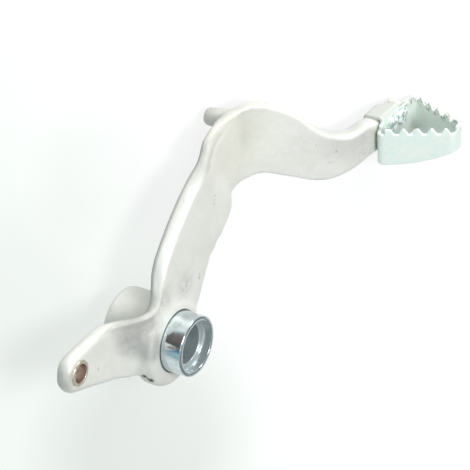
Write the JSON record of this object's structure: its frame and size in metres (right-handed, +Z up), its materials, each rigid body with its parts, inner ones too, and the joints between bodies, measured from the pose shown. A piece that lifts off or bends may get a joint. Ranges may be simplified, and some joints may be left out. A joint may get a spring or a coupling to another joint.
{
  "type": "rear brake pedal",
  "caption": "Cast motorbike rear brake pedal: bell-crank arm with bushed pivot boss, bushed clevis-pin lug, spring post and a riveted, toothed sheet-steel toe piece.",
  "frame": {"origin": "on the pivot axis, where it crosses the mid plane of the arm's web", "axes": "+X forward along the bike, +Y inboard along the pivot axis (towards the bike's left), +Z up"},
  "size_m": [0.2031, 0.0923, 0.0977],
  "materials": {
    "cast_arm": "bead-blasted casting",
    "bush_steel": "turned, lightly oiled",
    "bush_bronze": "turned bronze",
    "plated_sheet": "zinc plated",
    "rivet_steel": "zinc plated"
  },
  "bodies": {
    "root": {"pedal_arm": "cast_arm", "pivot_bush": "bush_steel", "pin_bush": "bush_bronze", "toe_piece": "plated_sheet", "toe_rivets": "rivet_steel"}
  },
  "joints": []
}
